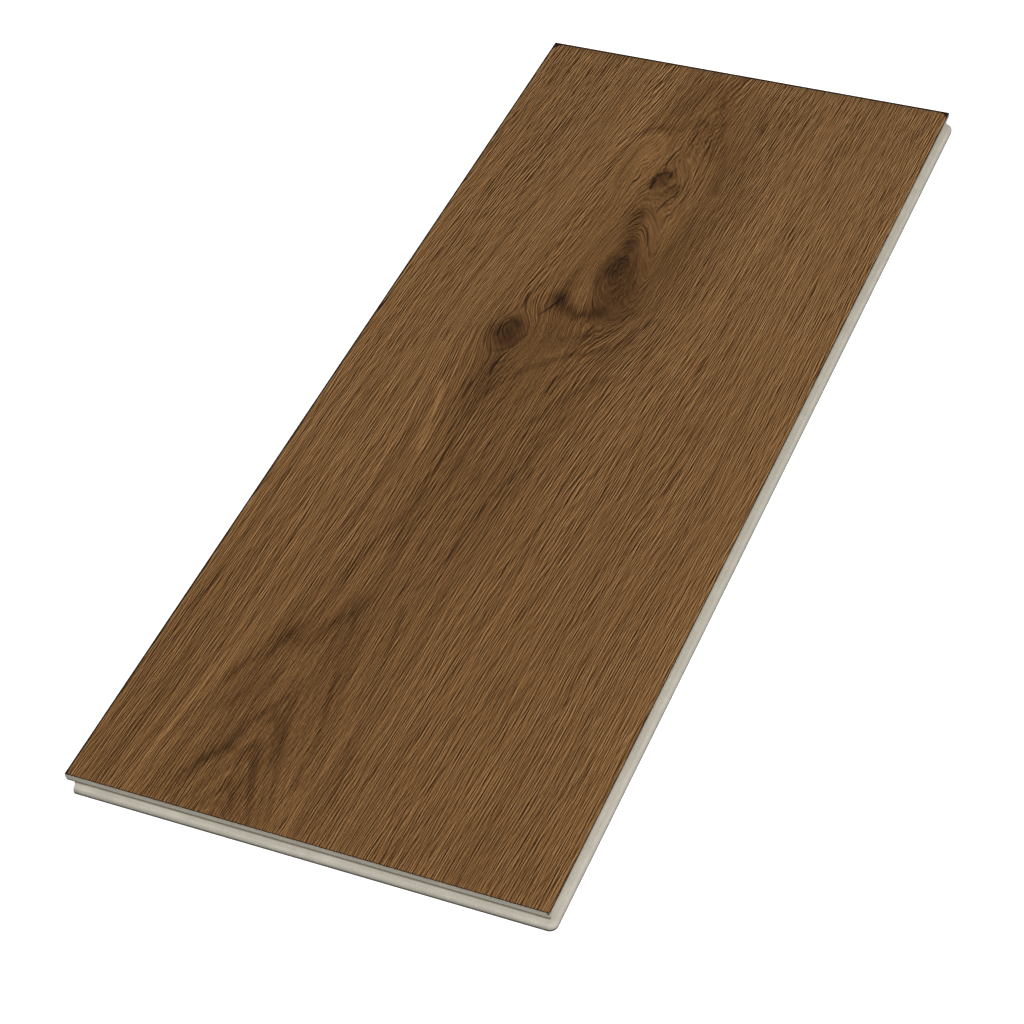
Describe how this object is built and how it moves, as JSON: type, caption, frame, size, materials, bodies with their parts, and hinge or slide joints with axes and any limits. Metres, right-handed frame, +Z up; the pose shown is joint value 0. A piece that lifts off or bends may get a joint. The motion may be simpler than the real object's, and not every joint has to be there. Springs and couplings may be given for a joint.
{
  "type": "luxury vinyl plank",
  "caption": "Rigid-core vinyl floor plank with an oak-look printed face, painted bevelled edges and click-lock tongues and grooves.",
  "frame": {"origin": "on the underside, below the middle of the printed face", "axes": "+X across the width towards the long tongue, +Y along the length towards the short groove, +Z up out of the printed face"},
  "size_m": [0.1862, 0.4522, 0.008],
  "materials": {
    "filled_vinyl_core": "milled mineral-filled vinyl, pale grey-beige, dry and matte",
    "printed_oak_face": "brown knotty oak print under a satin clear coat, embossed in register, dark painted bevel"
  },
  "bodies": {
    "root": {"core": "filled_vinyl_core", "wear_layer": "printed_oak_face"}
  },
  "joints": []
}
